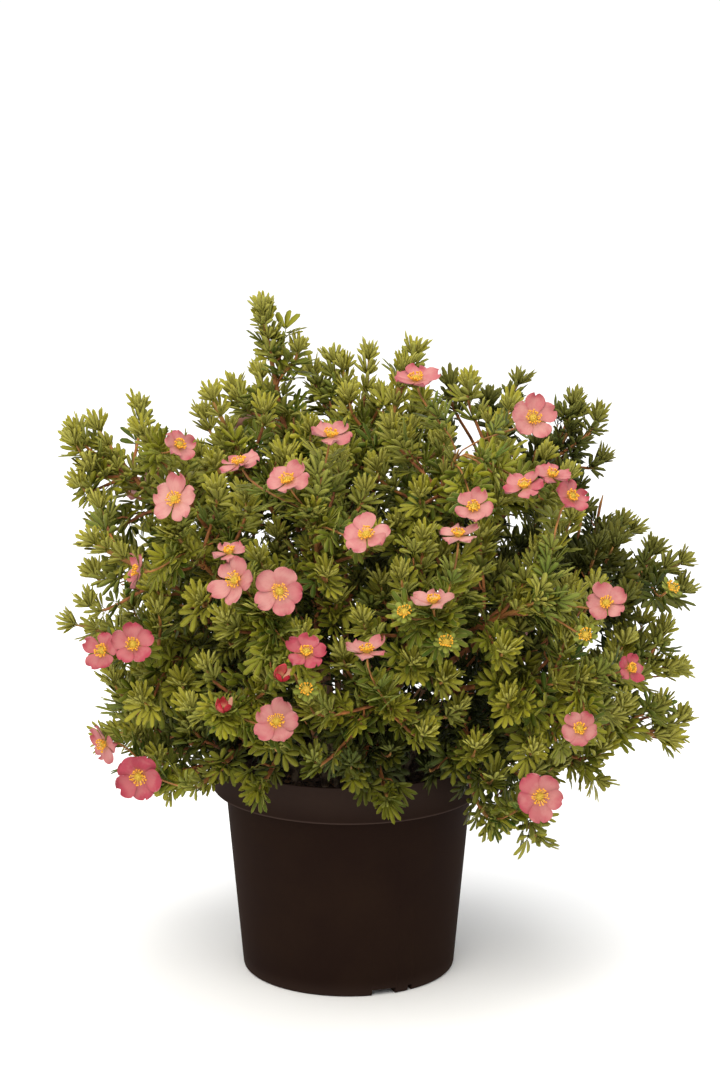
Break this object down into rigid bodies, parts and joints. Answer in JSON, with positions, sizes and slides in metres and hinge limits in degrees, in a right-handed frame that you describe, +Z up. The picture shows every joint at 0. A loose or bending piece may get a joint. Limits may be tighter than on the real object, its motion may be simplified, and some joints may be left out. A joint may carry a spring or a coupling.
{
  "type": "potted flowering shrub",
  "caption": "Small bushy flowering shrub with fans of narrow leaves and open five-petalled flowers, growing in a plain round nursery pot.",
  "frame": {"origin": "middle of the pot's base, on the surface that it stands on", "axes": "+Z up along the pot's axis; -Y towards the side that the picture shows; +X to the right in the picture"},
  "size_m": [0.4413, 0.4107, 0.452],
  "materials": {
    "pot_plastic": "matte moulded dark brown-black plastic, a little paler on the rim",
    "potting_soil": null,
    "foliage": null,
    "petals": null,
    "bud_skin": null
  },
  "bodies": {
    "root": {"pot": "pot_plastic", "soil": "potting_soil", "leafy_stem_01": "foliage", "leafy_stem_02": "foliage", "leafy_stem_03": "foliage", "leafy_stem_04": "foliage", "leafy_stem_05": "foliage", "leafy_stem_06": "foliage", "leafy_stem_07": "foliage", "leafy_stem_08": "foliage", "leafy_stem_09": "foliage", "leafy_stem_10": "foliage", "leafy_stem_11": "foliage", "leafy_stem_12": "foliage", "leafy_stem_13": "foliage", "leafy_stem_14": "foliage", "leafy_stem_15": "foliage", "leafy_stem_16": "foliage", "leafy_stem_17": "foliage", "leafy_stem_18": "foliage", "leafy_stem_19": "foliage", "leafy_stem_20": "foliage", "bloom_01": "petals", "bloom_02": "petals", "bloom_03": "petals", "bloom_04": "petals", "bloom_05": "petals", "bloom_06": "petals", "bloom_07": "petals", "bloom_08": "petals", "bloom_09": "petals", "bloom_10": "petals", "bloom_11": "petals", "bloom_12": "petals", "bloom_13": "petals", "bloom_14": "petals", "bloom_15": "petals", "bloom_16": "petals", "bloom_17": "petals", "bloom_18": "petals", "bloom_19": "petals", "bloom_20": "petals", "bloom_21": "petals", "bloom_22": "petals", "bloom_23": "petals", "bloom_24": "petals", "bloom_25": "petals", "bloom_26": "petals", "bloom_27": "petals", "bloom_28": "petals", "bloom_29": "petals", "bloom_30": "petals", "bloom_31": "petals", "bloom_32": "petals", "bloom_33": "petals", "bloom_34": "petals", "bloom_35": "petals", "opening_bud_01": "bud_skin", "opening_bud_02": "bud_skin"}
  },
  "joints": []
}
